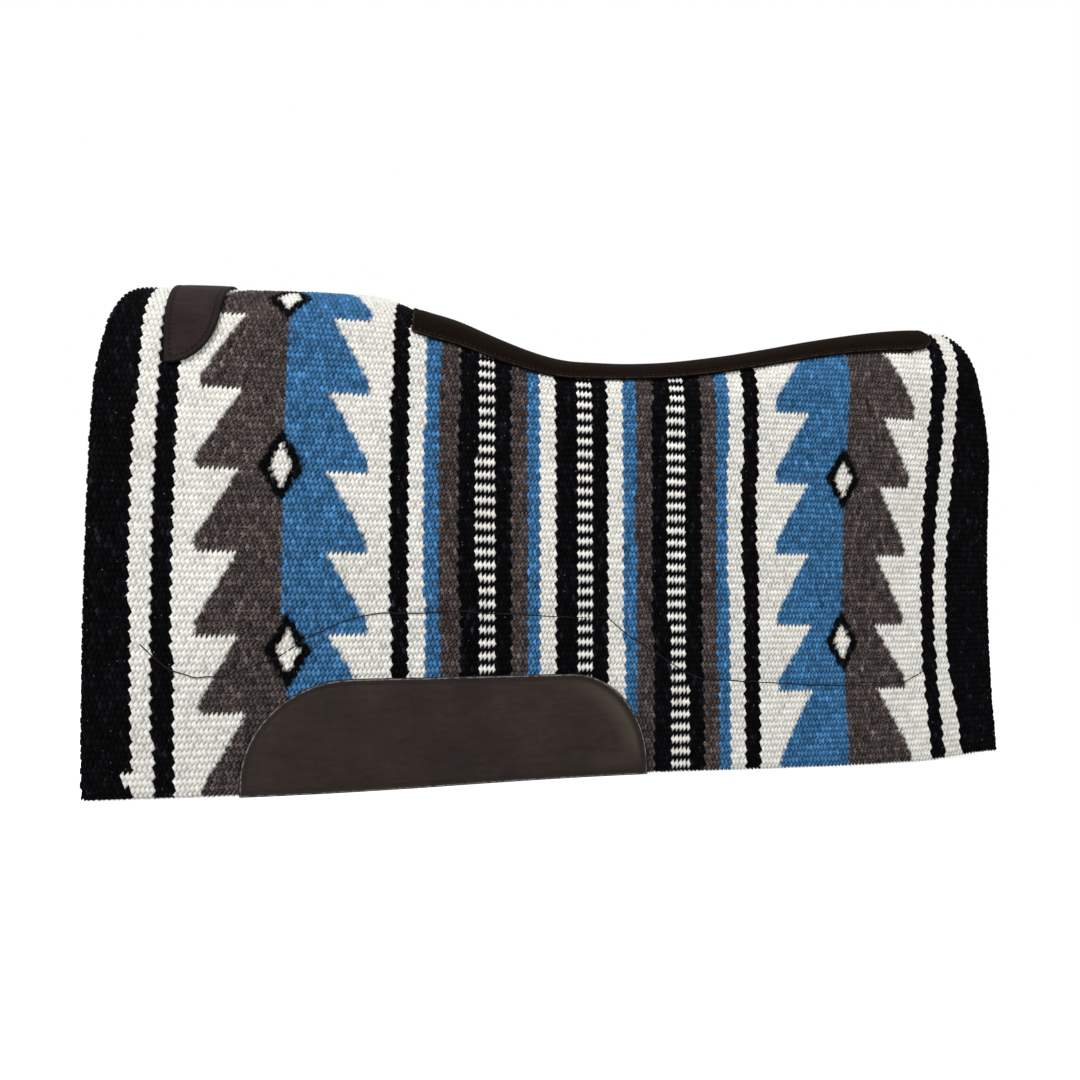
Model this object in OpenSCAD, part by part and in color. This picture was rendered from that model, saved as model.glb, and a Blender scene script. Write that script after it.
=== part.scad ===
// Contoured saddle pad: a woven wool blanket over a felt core and a fleece lining, folded over the
// horse's back, with leather along the spine, at the withers and at the girth.
// X runs along the horse, the withers end at -X. The two flaps hang at -Y (left) and +Y (right).
// Z is up, the hem stands on Z = 0, and the origin is the middle of the footprint.
// Places on the pad are given as x along it and t, the distance from the uncut spine line round
// the outside of the blanket. Layers are measured inwards from the outer face of the blanket.

/* [Overall size] */
// Length of the pad along the horse
pad_len = 864; // [700:2:960]
// Width of the blanket from hem to hem round the back, before the contour is cut
pad_width = 1016; // [860:4:1100]

/* [Layers] */
// Thickness of the woven blanket
blanket_t = 6; // [4:0.5:9]
// Thickness of the felt core
core_t = 12; // [6:0.5:18]
// Thickness of the fleece lining
lining_t = 6; // [4:0.5:12]
// Air left between two layers
layer_gap = 0.3; // [0.2:0.05:0.6]
// How much shorter the felt core is than the blanket, all round
core_short = 5; // [2:1:12]

/* [Drape] */
// Radius of the fold over the spine
arch_r = 63.5; // [50:0.5:90]
// Outward lean of the flap just below the fold at the withers, in degrees
front_top_lean = 11.7; // [-4:0.1:18]
// Outward lean of the flap at the hem at the withers end, in degrees
front_hem_lean = -5.2; // [-10:0.1:12]
// Outward lean of the flap just below the fold at the rear, in degrees
rear_top_lean = -6.5; // [-12:0.1:12]
// Outward lean of the flap at the hem at the rear, in degrees
rear_hem_lean = 7; // [-6:0.1:14]
// How far the hem waves in and out
hem_wave = 7; // [0:0.5:15]
// Length of one wave along the hem
hem_wave_len = 520; // [400:10:700]
// Place along the pad where the hem swings out furthest
hem_wave_out = 265; // [100:5:400]
// How far the rear corner of the hem hangs clear of the ground
rear_corner_lift = 6; // [0:0.5:12]

/* [Contour] */
// Cloth taken out of each half at the deepest point of the spine
dip_depth = 58.5; // [30:0.5:70]
// How far the fold is drawn down at the strip's front end (mm)
strip_draw = 4; // [0:0.5:6]
// Where the contour starts behind the withers
dip_start = -226; // [-300:2:-160]
// Where the contour reaches its full depth
dip_full = -12; // [-60:1:0]
// Where the contour begins to rise again
dip_rise = 10; // [0:5:60]
// Where the contour ends
dip_end = 405; // [300:5:420]
// How much shorter each half is at the front edge than behind the withers
front_drop = 5; // [0:0.5:10]
// How far back from the front edge that shortening reaches
front_drop_len = 190; // [100:5:220]
// How far the front edge is rounded off at the spine
front_round = 24; // [0:1:40]
// How far down the front edge the rounding reaches
front_round_reach = 150; // [60:5:180]
// How far the rear edge is rounded off at the spine
rear_round = 55; // [0:1:60]
// How far down the rear edge the rounding reaches
rear_round_reach = 190; // [80:5:220]
// How far both end edges fan out at the hem
corner_flare = 7; // [0:0.5:12]

/* [Spine strip] */
// Front end of the leather strip over the spine
strip_front = -175; // [-220:5:-120]
// Rear end of the leather strip
strip_rear = 368; // [300:2:400]
// Reach of the strip down each side at its front end
strip_half_front = 75; // [50:1:80]
// Reach of the strip down each side where it is narrowest
strip_half_mid = 58; // [50:1:80]
// Reach of the strip down each side at its rear end
strip_half_rear = 66; // [50:1:80]
// Place along the pad where the narrowest stretch of the strip starts
strip_mid_from = 43; // [0:1:100]
// Place along the pad where the narrowest stretch of the strip ends
strip_mid_to = 213; // [110:1:260]
// Thickness of the strip leather
strip_t = 2.6; // [1.6:0.1:4]
// Air between leather and blanket
leather_gap = 0.6; // [0.4:0.1:1]

/* [Wither patch] */
// Front edge of the leather patch over the withers
patch_front = -385; // [-400:1:-360]
// Length of the patch along the horse
patch_len = 48; // [40:1:70]
// Reach of the patch down each side
patch_half = 129; // [90:1:150]
// Length of its rounded rear corner along the horse
patch_round_x = 46; // [20:1:50]
// Height of its rounded rear corner
patch_round_t = 52; // [20:1:80]
// Thickness of the patch leather
patch_t = 2.2; // [1.6:0.1:4]

/* [Wear leathers] */
// Front edge of the leather at the girth
wear_front = -314; // [-340:2:-280]
// Rear edge of the leather at the girth
wear_rear = 47; // [30:2:90]
// Height of the leather above the hem
wear_tall = 100; // [80:1:130]
// Length of its front upper corner
wear_front_round = 90; // [40:2:110]
// Length of its rear upper corner
wear_rear_round = 74; // [40:2:110]
// Height of both upper corners
wear_round_t = 90; // [40:1:98]
// Thickness of the girth leather
wear_t = 2.4; // [1.6:0.1:4]

/* [Seam tape] */
// Front end of the tape under the spine
tape_front = -400; // [-420:5:-380]
// Rear end of the tape
tape_rear = 380; // [340:2:390]
// Reach of the tape to each side of the spine
tape_half = 24; // [15:1:35]
// Thickness of the tape
tape_t = 1.4; // [1:0.1:2]

/* [Stitching] */
// Distance from one stitch to the next
stitch_pitch = 12; // [8:1:20]
// Length of a stitch
stitch_len = 7; // [4:0.5:10]
// Thickness of the sewing thread
stitch_t = 0.9; // [0.6:0.1:1.4]
// Distance of the seams from the edge of the leather
stitch_inset = 5; // [3:0.5:9]
// Thickness of the quilting thread
quilt_t = 1.5; // [1:0.1:2.4]
// Air between a thread and the face it lies on
thread_gap = 0.25; // [0.2:0.05:0.4]

/* [Hidden] */
// Places along the pad are given for a pad 864 mm long and move with its length
fit_x = pad_len / 864;
strip_a = strip_front * fit_x;
strip_b = strip_rear * fit_x;
strip_m = strip_mid_from * fit_x;
strip_n = strip_mid_to * fit_x;
patch_a = patch_front * fit_x;
wear_a = wear_front * fit_x;
wear_b = wear_rear * fit_x;
tape_a = tape_front * fit_x;
tape_b = tape_rear * fit_x;
dip_a = dip_start * fit_x;
dip_b = dip_full * fit_x;
dip_c = dip_rise * fit_x;
dip_d = dip_end * fit_x;
drop_len = front_drop_len * fit_x;
half = pad_len / 2;
girth_flat = pad_width / 2;
core_h = blanket_t + layer_gap;
lining_h = core_h + core_t + layer_gap;
tape_h = lining_h + lining_t + layer_gap;
arc_len = arch_r * PI / 2;
// Stations round the girth, as distances from the spine on an uncut half of 508 mm
stations = [0, 14, 28, 42, 56, 74, 95, 135, 200, 280, 360, 440, 508];
nj = len(stations);
nx = 25;
step_x = pad_len / (nx - 1);
// Quilting line across the flap: x along the pad and t down it
quilt_path = [
  [-391, 376], [-382, 386], [-368, 398], [-350, 404], [-329, 404], [-305, 396], [-284, 388],
  [-259, 371], [-232, 358], [-211, 352], [-188, 350], [-146, 348], [-112, 350], [-80, 351],
  [-39, 353], [8, 354], [18, 363], [28, 372], [40, 379], [60, 392], [80, 405], [104, 416],
  [136, 418], [183, 421], [221, 424], [259, 426], [297, 426], [327, 422], [349, 413]];
quilt_line = [for (q = quilt_path) [q[0] * fit_x, q[1] + girth_flat - 508]];

function ease(v) = v <= 0 ? 0 : v >= 1 ? 1 : v * v * (3 - 2 * v);
function mix(a, b, f) = a + (b - a) * f;
function along(x) = (x + half) / pad_len;
// Cloth taken out of each half at the spine
function dart(x) = dip_depth * ease((x - dip_a) / (dip_b - dip_a))
  * (1 - ease((x - dip_c) / (dip_d - dip_c)))
  + front_drop * (1 - ease((x + half) / drop_len))
  + strip_draw * exp(-pow((x - strip_a - 10) / 24, 2));
// Length of a flap from the spine to the hem
function girth(x) = girth_flat - dart(x);
function top_lean(x) = mix(front_top_lean, rear_top_lean, along(x));
function hem_lean(x) = mix(front_hem_lean, rear_hem_lean, along(x));
function turn(x) = 90 - top_lean(x);
function fold_r(x) = arc_len / (turn(x) * PI / 180);
function bend(x) = let (d = top_lean(x) - hem_lean(x)) abs(d) < 0.4 ? 0.4 : d;
// Direction of the cloth at s down from the spine: 0 is level, 90 hangs straight down
function angle_at(x, s) = s < arc_len ? turn(x) * s / arc_len
  : turn(x) + bend(x) * (s - arc_len) / (girth(x) - arc_len);
function curl(x) = bend(x) * PI / 180 / (girth(x) - arc_len);
function out_at(x, s) = s < arc_len ? fold_r(x) * sin(angle_at(x, s))
  : fold_r(x) * sin(turn(x)) + (sin(angle_at(x, s)) - sin(turn(x))) / curl(x);
function down_at(x, s) = s < arc_len ? fold_r(x) * (1 - cos(angle_at(x, s)))
  : fold_r(x) * (1 - cos(turn(x))) + (cos(turn(x)) - cos(angle_at(x, s))) / curl(x);
function wave(x, s) = hem_wave * cos(360 * (x - hem_wave_out) / hem_wave_len)
  * pow(s / girth(x), 2);
function lift(x) = rear_corner_lift * ease((x - half + 102) / 102);
// How far an end edge stands out at s: a little on the flap, more towards the hem
function flare(x, s) = corner_flare * (0.25 * ease(s / 200)
  + 0.75 * pow(max(0, 2 * s / girth(x) - 1), 2));
// The end edges are cut slanting near the spine, so the last one or two stations draw in
function end_shift(x, s) =
  flare(x, s) * (max(0, 1 - (half - x) / step_x) - max(0, 1 - (x + half) / step_x)) +
  front_round * pow(max(0, 1 - s / front_round_reach), 1.5) * max(0, 1 - (x + half) / step_x)
  - rear_round * pow(max(0, 1 - s / rear_round_reach), 1.5) * max(0, 1 - (half - x) / step_x / 2);
// A point of the left flap: s down from the spine, h inwards from the outer face
function place(x, s, h) =
  let (a = angle_at(x, s))
  [x + end_shift(x, s),
   -out_at(x, s) - wave(x, s) + h * sin(a),
   down_at(x, girth(x)) - down_at(x, s) + lift(x) * pow(s / girth(x), 4) - h * cos(a)];
// The blanket's own grid of points: outer face and the inward direction at each
grid = [for (i = [0:nx - 1]) let (x = -half + i * step_x)
  [for (j = [0:nj - 1]) let (s = stations[j] / stations[nj - 1] * girth(x), p = place(x, s, 0))
    [p, place(x, s, 1) - p]]];
function row_of(q, j = 0) = j >= nj - 2 || stations[j + 1] > q ? j : row_of(q, j + 1);
function blend_cell(i, j, fx, fj, k) = mix(mix(grid[i][j][k], grid[i + 1][j][k], fx),
  mix(grid[i][j + 1][k], grid[i + 1][j + 1][k], fx), fj);
// A point over the blanket's own facets, s down from the spine
function on_face(x, s, h) =
  let (u = (x + half) / step_x, i = max(0, min(nx - 2, floor(u))),
       q = s / girth(x) * stations[nj - 1], j = row_of(q),
       fj = (q - stations[j]) / (stations[j + 1] - stations[j]),
       z0 = blend_cell(i, j, u - i, fj, 0), n = blend_cell(i, j, u - i, fj, 1))
  z0 + h * n;
function cut_flat(p, z) = [p[0], p[1], z];

// Faces of a sheet with an outer grid of points and an inner one, na by nb points each
function sheet_faces(na, nb) = let (n = na * nb) concat(
  [for (i = [0:na - 2]) for (j = [0:nb - 2]) let (a = i * nb + j, b = a + nb)
    each [[a, b, b + 1], [a, b + 1, a + 1],
          [n + a, n + b + 1, n + b], [n + a, n + a + 1, n + b + 1]]],
  [for (i = [0:na - 2]) let (a = i * nb, b = a + nb, c = a + nb - 1, d = c + nb)
    each [[b, a, n + a], [b, n + a, n + b], [c, d, n + d], [c, n + d, n + c]]],
  [for (j = [0:nb - 2]) let (a = j, c = (na - 1) * nb + j)
    each [[a, a + 1, n + a + 1], [a, n + a + 1, n + a],
          [c + 1, c, n + c], [c + 1, n + c, n + c + 1]]]);
module sheet(outer, inner) {
  na = len(outer);
  nb = len(outer[0]);
  polyhedron(points = [for (g = [outer, inner]) for (r = g) each r],
    faces = sheet_faces(na, nb), convexity = 8);
}

// One layer of a flap between two depths, from s = first down to the hem, ends drawn in by e
function flap_grid(h, first, e, hem_z) = [for (i = [0:nx - 1])
  let (x = -half + i * step_x, xe = max(-half + e, min(half - e, x)))
  [for (j = [0:nj - 1])
    let (s = max(first, stations[j] / stations[nj - 1] * girth(xe)), p = place(xe, s, h))
    j == nj - 1 ? cut_flat(p, lift(xe) + hem_z) : p]];
function mirrored(p) = [p[0], -p[1], p[2]];
// The same layer over both flaps, from the right hem over the spine to the left hem
function whole_grid(h) = [for (r = flap_grid(h, 0, 0, 0))
  concat([for (j = [nj - 1:-1:1]) mirrored(r[j])], r)];

// A leather laid over the spine: xs are its stations, reach(x) its reach down each side
function over_spine(xs, reach, rows, h) = [for (k = [0:len(xs) - 1])
  let (r = [for (q = rows) on_face(xs[k], q * reach[k], h)])
  concat([for (j = [len(rows) - 1:-1:1]) mirrored(r[j])], r)];

function grid_x(a, b) = concat([a],
  [for (i = [0:nx - 1]) let (x = -half + i * step_x) if (x > a + 4 && x < b - 4) x], [b]);

// A thread bar from p to q lying on a face with inward direction n
module thread_bar(p, q, n, w) {
  d = (q - p) / norm(q - p);
  c = cross(n, d) / norm(cross(n, d)) * w / 2;
  u = n / norm(n) * w;
  polyhedron(points = [p - c, p + c, q + c, q - c, p - c - u, p + c - u, q + c - u, q - c - u],
    faces = [[0, 3, 2, 1], [4, 5, 6, 7], [0, 1, 5, 4], [2, 3, 7, 6], [1, 2, 6, 5], [3, 0, 4, 7]]);
}
// A stitch centred at (x, s), running along (dx, ds), over the face at depth h
module stitch(x, s, dx, ds, h) {
  f = stitch_len / 2 / norm([dx, ds]);
  a = on_face(x - dx * f, s - ds * f, h - thread_gap);
  b = on_face(x + dx * f, s + ds * f, h - thread_gap);
  thread_bar(a, b, on_face(x, s, h + 1) - on_face(x, s, h), stitch_t);
}
// The same stitch on the underside of the lining
module under_stitch(x, s, h) {
  a = on_face(x - stitch_len / 2, s, h + thread_gap);
  b = on_face(x + stitch_len / 2, s, h + thread_gap);
  thread_bar(a, b, on_face(x, s, h) - on_face(x, s, h + 1), stitch_t);
}

strip_xs = grid_x(strip_a, strip_b);
function strip_reach(x) = x < strip_n
  ? mix(strip_half_front, strip_half_mid, ease((x - strip_a) / (strip_m - strip_a)))
  : mix(strip_half_mid, strip_half_rear, ease((x - strip_n) / (strip_b - strip_n)));
strip_rows = [0, 0.2, 0.4, 0.6, 0.78, 0.92, 1];
patch_rows = [0, 0.11, 0.22, 0.33, 0.44, 0.54, 0.64, 0.74, 0.86, 1];
patch_xs = [for (f = [0, 0.2, 0.4, 0.6, 0.78, 0.92, 1]) patch_a + f * patch_len];
function corner(f) = sqrt(max(0, 1 - f * f));
function patch_reach(x, in = 0) = let (f = (x - patch_a - patch_len + patch_round_x)
  / (patch_round_x - in))
  f <= 0 ? patch_half - in
  : patch_half - patch_round_t + (patch_round_t - in) * corner(min(1, f));
function wear_top(x, in = 0) =
  let (ff = (wear_a + wear_front_round - x) / (wear_front_round - in),
       fr = (x - wear_b + wear_rear_round) / (wear_rear_round - in),
       c = min(ff > 0 ? corner(min(1, ff)) : 1, fr > 0 ? corner(min(1, fr)) : 1))
  wear_tall - wear_round_t + (wear_round_t - in) * c;
wear_xs = concat([wear_a],
  [for (f = [0.03, 0.1, 0.22, 0.4, 0.6]) wear_a + f * wear_front_round],
  [for (i = [0:nx - 1]) let (x = -half + i * step_x)
    if (x > wear_a + 0.62 * wear_front_round && x < wear_b - 0.62 * wear_rear_round) x],
  [for (f = [0.6, 0.4, 0.22, 0.1, 0.03]) wear_b - f * wear_rear_round], [wear_b]);
function wear_grid(h) = [for (x = wear_xs) [for (f = [1, 0.72, 0.4, 0])
  let (p = on_face(x, girth(x) - f * wear_top(x), h)) f == 0 ? cut_flat(p, lift(x)) : p]];

module woven_blanket() {
  color([0.82, 0.8, 0.76])
    sheet(whole_grid(0), whole_grid(blanket_t));
}
module felt_core_left() {
  color([0.45, 0.45, 0.43])
    sheet(flap_grid(core_h, 0.5, core_short, core_short),
      flap_grid(core_h + core_t, 0.5, core_short, core_short));
}
module felt_core_right() {
  mirror([0, 1, 0])
    felt_core_left();
}
module lining_left() {
  color([0.88, 0.85, 0.77])
    sheet(flap_grid(lining_h, 0.4, 1, 0), flap_grid(lining_h + lining_t, 0.4, 1, 0));
}
module lining_right() {
  mirror([0, 1, 0])
    lining_left();
}
module spine_strip() {
  reach = [for (x = strip_xs) strip_reach(x)];
  color([0.13, 0.09, 0.07])
    sheet(over_spine(strip_xs, reach, strip_rows, -leather_gap - strip_t),
      over_spine(strip_xs, reach, strip_rows, -leather_gap));
}
module seam_tape() {
  xs = grid_x(tape_a, tape_b);
  reach = [for (x = xs) tape_half];
  color([0.2, 0.19, 0.18])
    sheet(over_spine(xs, reach, [0, 0.55, 1], tape_h),
      over_spine(xs, reach, [0, 0.55, 1], tape_h + tape_t));
}
module wither_patch() {
  reach = [for (x = patch_xs) patch_reach(x)];
  color([0.22, 0.17, 0.14])
    sheet(over_spine(patch_xs, reach, patch_rows, -leather_gap - patch_t),
      over_spine(patch_xs, reach, patch_rows, -leather_gap));
}
module wear_leather_left() {
  color([0.22, 0.17, 0.15])
    sheet(wear_grid(-leather_gap - wear_t), wear_grid(-leather_gap));
}
module wear_leather_right() {
  mirror([0, 1, 0])
    wear_leather_left();
}
module spine_strip_stitches_left() {
  n = floor((strip_b - strip_a - 12) / stitch_pitch);
  color([0.06, 0.05, 0.05])
    for (k = [0:n])
      stitch(strip_a + 8 + k * stitch_pitch,
        strip_reach(strip_a + 8 + k * stitch_pitch) - stitch_inset, 1, 0,
        -leather_gap - strip_t);
}
module spine_strip_stitches_right() {
  mirror([0, 1, 0])
    spine_strip_stitches_left();
}
// Points of a seam inset from the curved edge of the wither patch
patch_seam = [for (a = [0:15:90])
  [patch_a + patch_len - patch_round_x + (patch_round_x - stitch_inset) * sin(a),
   patch_half - patch_round_t + (patch_round_t - stitch_inset) * cos(a)]];
patch_rear_x = patch_a + patch_len - stitch_inset;
module patch_seam_half() {
  for (k = [0:len(patch_seam) - 2])
    stitch((patch_seam[k][0] + patch_seam[k + 1][0]) / 2,
      (patch_seam[k][1] + patch_seam[k + 1][1]) / 2,
      patch_seam[k + 1][0] - patch_seam[k][0], patch_seam[k + 1][1] - patch_seam[k][1],
      -leather_gap - patch_t);
  for (s = [7:stitch_pitch:patch_half - patch_round_t - 6])
    stitch(patch_rear_x, s, 0, 1, -leather_gap - patch_t);
  for (s = [7:stitch_pitch:patch_half - 12])
    stitch(patch_a + stitch_inset, s, 0, 1, -leather_gap - patch_t);
}
module wither_patch_stitches() {
  color([0.06, 0.05, 0.05])
    union() {
      patch_seam_half();
      mirror([0, 1, 0])
        patch_seam_half();
    }
}
// Points of the seam along the girth leather, as x and height above the hem
wear_seam = concat(
  [for (a = [0:10:80]) [wear_a + wear_front_round - (wear_front_round - stitch_inset) * cos(a),
    wear_tall - wear_round_t + (wear_round_t - stitch_inset) * sin(a)]],
  [for (x = [wear_a + wear_front_round + 6:stitch_pitch:wear_b - wear_rear_round - 6])
    [x, wear_tall - stitch_inset]],
  [for (a = [80:-10:0]) [wear_b - wear_rear_round + (wear_rear_round - stitch_inset) * cos(a),
    wear_tall - wear_round_t + (wear_round_t - stitch_inset) * sin(a)]]);
module wear_leather_stitches_left() {
  color([0.06, 0.05, 0.05])
    for (k = [0:len(wear_seam) - 2]) {
      a = wear_seam[k];
      b = wear_seam[k + 1];
      x = (a[0] + b[0]) / 2;
      if (norm(b - a) > stitch_len + 0.5)
        stitch(x, girth(x) - (a[1] + b[1]) / 2, b[0] - a[0], a[1] - b[1],
          -leather_gap - wear_t);
    }
}
module wear_leather_stitches_right() {
  mirror([0, 1, 0])
    wear_leather_stitches_left();
}
// Cross-sections of the quilting thread: its two upper or its two lower edges at each point
function quilt_rows(h) = [for (k = [0:len(quilt_line) - 1])
  let (a = quilt_line[max(0, k - 1)], b = quilt_line[min(len(quilt_line) - 1, k + 1)],
       d = (b - a) / norm(b - a), q = quilt_line[k], s = q[1] - dart(q[0]),
       side = [-d[1], d[0]] * quilt_t / 2)
  [on_face(q[0] - side[0], s - side[1], h), on_face(q[0] + side[0], s + side[1], h)]];
module quilting_thread_left() {
  color([0.05, 0.05, 0.05])
    sheet(quilt_rows(-thread_gap - quilt_t), quilt_rows(-thread_gap));
}
module quilting_thread_right() {
  mirror([0, 1, 0])
    quilting_thread_left();
}
module tape_stitches_left() {
  n = floor((tape_b - tape_a - 20) / stitch_pitch);
  color([0.1, 0.09, 0.09])
    for (k = [0:n])
      under_stitch(tape_a + 10 + k * stitch_pitch, tape_half - 4, tape_h + tape_t);
}
module tape_stitches_right() {
  mirror([0, 1, 0])
    tape_stitches_left();
}
module underside_stitches_left() {
  n = floor((strip_b - strip_a - 12) / stitch_pitch);
  color([0.1, 0.09, 0.09])
    for (k = [0:n])
      under_stitch(strip_a + 8 + k * stitch_pitch,
        strip_reach(strip_a + 8 + k * stitch_pitch) - stitch_inset, lining_h + lining_t);
}
module underside_stitches_right() {
  mirror([0, 1, 0])
    underside_stitches_left();
}

woven_blanket();
felt_core_left();
felt_core_right();
lining_left();
lining_right();
spine_strip();
seam_tape();
wither_patch();
wear_leather_left();
wear_leather_right();
spine_strip_stitches_left();
spine_strip_stitches_right();
wither_patch_stitches();
wear_leather_stitches_left();
wear_leather_stitches_right();
quilting_thread_left();
quilting_thread_right();
tape_stitches_left();
tape_stitches_right();
underside_stitches_left();
underside_stitches_right();
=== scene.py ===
"""Looks of a contoured western saddle pad: a patterned woven blanket over felt and fleece, with leather
along the spine, at the withers and at the girth.

Shapes are worked out in millimetres on the draped pad: x runs along the horse, t is the distance from
the uncut spine line round the outside, s the distance down from the ridge, and depth is measured
inwards from the blanket's outer face. Meshes are made in metres.
"""

import math

import bpy
import numpy as np
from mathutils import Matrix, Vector
from mathutils.geometry import delaunay_2d_cdt


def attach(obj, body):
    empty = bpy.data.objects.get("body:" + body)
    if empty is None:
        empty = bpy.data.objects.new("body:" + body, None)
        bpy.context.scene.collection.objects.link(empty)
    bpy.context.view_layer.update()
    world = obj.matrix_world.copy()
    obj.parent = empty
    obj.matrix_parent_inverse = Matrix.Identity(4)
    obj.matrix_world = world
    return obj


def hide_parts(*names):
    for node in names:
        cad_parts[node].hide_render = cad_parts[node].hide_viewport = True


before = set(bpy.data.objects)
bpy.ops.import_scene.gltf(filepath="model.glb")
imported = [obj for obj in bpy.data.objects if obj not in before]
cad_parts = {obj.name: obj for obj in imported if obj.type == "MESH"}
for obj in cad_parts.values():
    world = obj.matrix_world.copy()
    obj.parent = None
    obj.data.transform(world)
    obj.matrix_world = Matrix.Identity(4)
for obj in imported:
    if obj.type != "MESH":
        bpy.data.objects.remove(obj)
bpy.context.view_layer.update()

MM = 0.001
LEFT = -1
RIGHT = 1
SIDES = (("left", LEFT), ("right", RIGHT))
MIRRORED = [1, -1]  # turns a line in (x, s) over to the other flap
random = np.random.default_rng(7)

# ---- the draped shape
HALF = 432.0  # half the pad's length
GIRTH_FLAT = 508.0  # spine to hem before the contour is cut
FOLD_R = 63.5
FOLD_LEN = FOLD_R * math.pi / 2
TOP_LEAN = (11.7, -6.5)  # outward lean below the fold, front and rear, in degrees
HEM_LEAN = (-5.2, 7.0)
LEAST_BEND = 0.4  # degrees between the two leans, so that the flap's curve has a radius
LOWEST = 0.05  # no point lies nearer to the floor
HEM_WAVE, WAVE_LEN, WAVE_OUT = 7.0, 520.0, 265.0
CORNER_LIFT, LIFT_LEN = 6.0, 102.0
DIP_DEPTH, DIP_START, DIP_FULL, DIP_RISE, DIP_END = 58.5, -226.0, -12.0, 10.0, 405.0
FRONT_DROP, FRONT_DROP_LEN = 5.0, 190.0
STRIP_FRONT = -175.0
STRIP_DRAW, DRAW_BACK, DRAW_LEN = 4.0, 10.0, 24.0  # the fold is drawn down where the strip starts
FRONT_ROUND, FRONT_REACH = 24.0, 150.0
REAR_ROUND, REAR_REACH = 55.0, 190.0
CORNER_FLARE = 7.0  # how far both end edges fan out at the hem
FLARE_TOP, FLARE_TOP_LEN = 0.25, 200.0  # the share of it that is reached near the spine

BLANKET_T, CORE_T, LINING_T, GAP = 6.0, 12.0, 6.0, 0.3
CORE_DEPTH = BLANKET_T + GAP
LINING_DEPTH = CORE_DEPTH + CORE_T + GAP
TAPE_DEPTH = LINING_DEPTH + LINING_T + GAP


def ease(v):
    v = np.clip(v, 0, 1)
    return v * v * (3 - 2 * v)


def dip(x):
    return DIP_DEPTH * ease((x - DIP_START) / (DIP_FULL - DIP_START)) * (
        1 - ease((x - DIP_RISE) / (DIP_END - DIP_RISE)))


def front_drop(x):
    drawn = STRIP_DRAW * np.exp(-((x - STRIP_FRONT - DRAW_BACK) / DRAW_LEN) ** 2)
    return FRONT_DROP * (1 - ease((x + HALF) / FRONT_DROP_LEN)) + drawn


def dart(x):
    return dip(x) + front_drop(x)


def girth(x):
    return GIRTH_FLAT - dart(x)


def surface(x, s, depth, side=LEFT):
    """Points in mm. A negative s lies on the other flap."""
    x, s, depth = np.broadcast_arrays(*(np.asarray(v, float) for v in (x, s, depth)))
    across = side * np.where(s < 0, -1.0, 1.0)
    s = np.abs(s)
    along = (x + HALF) / (2 * HALF)
    top, hem = (front + (rear - front) * along for front, rear in (TOP_LEAN, HEM_LEAN))
    bend = np.where(np.abs(top - hem) < LEAST_BEND, LEAST_BEND, top - hem)
    turn = np.radians(90 - top)
    radius = FOLD_LEN / turn
    g = girth(x)
    angle = np.where(s < FOLD_LEN, turn * s / FOLD_LEN,
                     turn + np.radians(bend) * (s - FOLD_LEN) / (g - FOLD_LEN))
    curl = np.radians(bend) / (g - FOLD_LEN)
    folded = radius * (1 - np.cos(turn))
    out = np.where(s < FOLD_LEN, radius * np.sin(angle),
                   radius * np.sin(turn) + (np.sin(angle) - np.sin(turn)) / curl)
    down = np.where(s < FOLD_LEN, radius * (1 - np.cos(angle)),
                    folded + (np.cos(turn) - np.cos(angle)) / curl)
    height = folded + (np.cos(turn) - np.cos(turn + np.radians(bend))) / curl
    wave = HEM_WAVE * np.cos(2 * np.pi * (x - WAVE_OUT) / WAVE_LEN) * (s / g) ** 2
    lift = CORNER_LIFT * ease((x - HALF + LIFT_LEN) / LIFT_LEN) * (s / g) ** 4
    y = across * (out + wave - depth * np.sin(angle))
    z = np.maximum(LOWEST, height - down + lift - depth * np.cos(angle))
    return np.stack([x, y, z], axis=-1)


def flare(x, s):
    share = np.clip(2 * np.abs(s) / girth(x) - 1, 0, None) ** 2
    return CORNER_FLARE * (FLARE_TOP * ease(np.abs(s) / FLARE_TOP_LEN) + (1 - FLARE_TOP) * share)


def front_edge(s):
    return -HALF - flare(-HALF, s) + FRONT_ROUND * np.clip(1 - np.abs(s) / FRONT_REACH, 0, None) ** 1.5


def rear_edge(s):
    return HALF + flare(HALF, s) - REAR_ROUND * np.clip(1 - np.abs(s) / REAR_REACH, 0, None) ** 1.5


# ---- helpers
joined = np.concatenate


def columns(*values):
    return np.stack(values, axis=1)


def linear(r, g, b):
    """An sRGB colour of 0 to 255 as linear values."""
    c = np.array([r, g, b], float) / 255
    return tuple(np.where(c <= 0.04045, c / 12.92, ((c + 0.055) / 1.055) ** 2.4))


def add_object(name, data):
    obj = bpy.data.objects.new(name, data)
    bpy.context.scene.collection.objects.link(obj)
    return obj


def make_mesh(name, points_mm, faces, smooth=True):
    """An object from points in mm and a list of arrays of faces, each of faces of one size."""
    mesh = bpy.data.meshes.new(name)
    groups = [np.asarray(g, np.int32) for g in faces if len(g)]
    loops = joined([g.ravel() for g in groups])
    sizes = joined([np.full(len(g), g.shape[1], np.int32) for g in groups])
    mesh.vertices.add(len(points_mm))
    mesh.vertices.foreach_set("co", (np.asarray(points_mm) * MM).astype(np.float32).ravel())
    mesh.loops.add(len(loops))
    mesh.loops.foreach_set("vertex_index", loops)
    mesh.polygons.add(len(sizes))
    mesh.polygons.foreach_set("loop_start", joined([[0], np.cumsum(sizes)[:-1]]).astype(np.int32))
    mesh.update(calc_edges=True)
    mesh.validate()
    mesh.polygons.foreach_set("use_smooth", np.full(len(mesh.polygons), smooth))
    return add_object(name, mesh)


def flip(faces):
    return [np.asarray(g)[:, ::-1] for g in faces if len(g)]


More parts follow.
